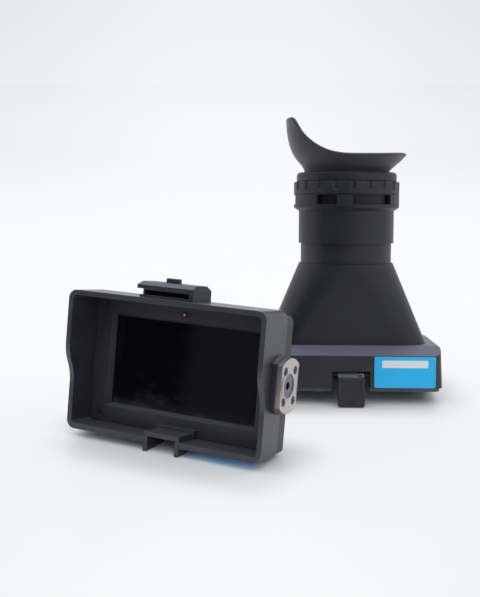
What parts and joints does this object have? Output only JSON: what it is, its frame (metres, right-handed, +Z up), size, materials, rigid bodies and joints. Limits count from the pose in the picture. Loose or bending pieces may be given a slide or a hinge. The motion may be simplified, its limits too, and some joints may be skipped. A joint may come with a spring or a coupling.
{
  "type": "electronic viewfinder",
  "caption": "Electronic viewfinder in two pieces: a hooded monitor with a screen, top shoe and side rosette, and a focusing loupe with an eyecup that latches on to it.",
  "frame": {"origin": "centre of the tripod socket's mouth, in the flat plate under the monitor, which rests on the floor", "axes": "+X along the monitor's width, out of the side rosette; -Y out of the screen's side; +Z up"},
  "size_m": [0.1325, 0.1735, 0.1381],
  "materials": {
    "hood_plastic": "fine satin moulding",
    "case_plastic": "fine satin moulding",
    "bezel_plastic": "matt",
    "screen_glass": "gloss",
    "panel_film": "gloss",
    "tray_metal": "plain",
    "circuit_board": "solder mask",
    "chip_plastic": "matt",
    "lamp_red": "clear red",
    "black_metal": "satin black",
    "rosette_steel": "brushed",
    "hub_metal": "blasted",
    "screw_steel": "dark",
    "insert_brass": "turned",
    "socket_metal": "plated",
    "key_plastic": "satin",
    "spring_steel": "plain",
    "loupe_plastic": "fine satin moulding",
    "seal_rubber": "matt",
    "cup_rubber": "matt",
    "lens_glass": "coated",
    "label_blue": "printed vinyl",
    "label_white": "printed vinyl"
  },
  "bodies": {
    "monitor": {"audio_socket": "chip_plastic", "backlight_tray": "tray_metal", "base_label": "label_blue", "bezel_screws": "screw_steel", "board_chips": "chip_plastic", "board_spacers": "chip_plastic", "button_spring": "spring_steel", "dial_encoder": "chip_plastic", "display_glass": "screen_glass", "key_switches": "chip_plastic", "latch_keeper": "black_metal", "lcd_panel": "panel_film", "main_board": "circuit_board", "plate_screws": "screw_steel", "power_socket": "chip_plastic", "power_switch_body": "chip_plastic", "rear_case": "case_plastic", "rosette_base": "black_metal", "rosette_hub": "hub_metal", "rosette_plate": "rosette_steel", "rosette_screws": "rosette_steel", "screen_bezel": "bezel_plastic", "shoe_body": "black_metal", "shoe_lid": "black_metal", "shoe_screws": "screw_steel", "sun_hood": "hood_plastic", "tally_lamp": "lamp_red", "tripod_insert": "insert_brass", "tripod_plate": "black_metal", "video_socket": "socket_metal"},
    "loupe": {"base_frame": "loupe_plastic", "rim_seal": "seal_rubber", "loupe_cone": "loupe_plastic", "neck_tube": "loupe_plastic", "window_ring": "loupe_plastic", "eyecup_collar": "loupe_plastic", "latch_pin": "spring_steel", "latch_spring": "spring_steel", "hook_plate": "black_metal", "hook_screws": "screw_steel", "loupe_label": "label_blue", "label_panel": "label_white"},
    "release_button": {"release_button": "black_metal"},
    "key_1": {"key_1": "key_plastic"},
    "key_2": {"key_2": "key_plastic"},
    "key_3": {"key_3": "key_plastic"},
    "key_4": {"key_4": "key_plastic"},
    "power_slider": {"power_slider": "key_plastic"},
    "menu_dial": {"menu_dial": "key_plastic"},
    "latch_clip": {"latch_clip": "loupe_plastic"},
    "focus_ring": {"focus_ring": "loupe_plastic"},
    "lens_cell": {"lens_cell": "loupe_plastic", "drive_pins": "spring_steel", "field_lens": "lens_glass", "eye_lens": "lens_glass", "lens_spacer": "loupe_plastic", "lens_retainer": "loupe_plastic"},
    "eyecup": {"eyecup": "cup_rubber"}
  },
  "joints": [
    {"name": "loupe_lift", "type": "slide", "parent": "monitor", "child": "loupe", "axis": [0, 0, 1], "range_m": [0, 0.15]},
    {"name": "release_press", "type": "slide", "parent": "monitor", "child": "release_button", "axis": [0, -0.1692, -0.9856], "range_m": [0, 0.0008], "stiffness_N_per_m": 500, "springref_m": -0.001, "deforming": ["button_spring"]},
    {"name": "key_1_press", "type": "slide", "parent": "monitor", "child": "key_1", "axis": [0, -0.9856, 0.1692], "range_m": [0, 0.0007], "stiffness_N_per_m": 600, "springref_m": -0.001},
    {"name": "key_2_press", "type": "slide", "parent": "monitor", "child": "key_2", "axis": [0, -0.9856, 0.1692], "range_m": [0, 0.0007], "stiffness_N_per_m": 600, "springref_m": -0.001},
    {"name": "key_3_press", "type": "slide", "parent": "monitor", "child": "key_3", "axis": [0, -0.9856, 0.1692], "range_m": [0, 0.0007], "stiffness_N_per_m": 600, "springref_m": -0.001},
    {"name": "key_4_press", "type": "slide", "parent": "monitor", "child": "key_4", "axis": [0, -0.9856, 0.1692], "range_m": [0, 0.0007], "stiffness_N_per_m": 600, "springref_m": -0.001},
    {"name": "power_slide", "type": "slide", "parent": "monitor", "child": "power_slider", "axis": [1, 0, 0], "range_m": [0, 0.003]},
    {"name": "dial_turn", "type": "hinge", "parent": "monitor", "child": "menu_dial", "pos_m": [0.021, 0.01086, 0.02433], "axis": [0, 0.9856, -0.1692], "continuous": true},
    {"name": "latch_swing", "type": "hinge", "parent": "loupe", "child": "latch_clip", "pos_m": [0.04373, 0.08207, 0.01441], "axis": [-0.8884, -0.4591, 0], "range_deg": [0, 16], "stiffness_Nm_per_rad": 0.06, "springref_deg": -11.46},
    {"name": "focus_turn", "type": "hinge", "parent": "loupe", "child": "focus_ring", "pos_m": [0.02566, 0.11442, 0.09891], "axis": [-0.0562, 0.1088, 0.9925], "range_deg": [-20, 44]},
    {"name": "cell_slide", "type": "slide", "parent": "loupe", "child": "lens_cell", "axis": [-0.0562, 0.1088, 0.9925], "range_m": [-0.00087, 0.00191]},
    {"name": "eyecup_turn", "type": "hinge", "parent": "loupe", "child": "eyecup", "pos_m": [0.02524, 0.11525, 0.10645], "axis": [-0.0562, 0.1088, 0.9925], "continuous": true}
  ],
  "couplings": [
    {"joint": "focus_turn", "follows": "cell_slide", "rad_per_m": 400}
  ]
}
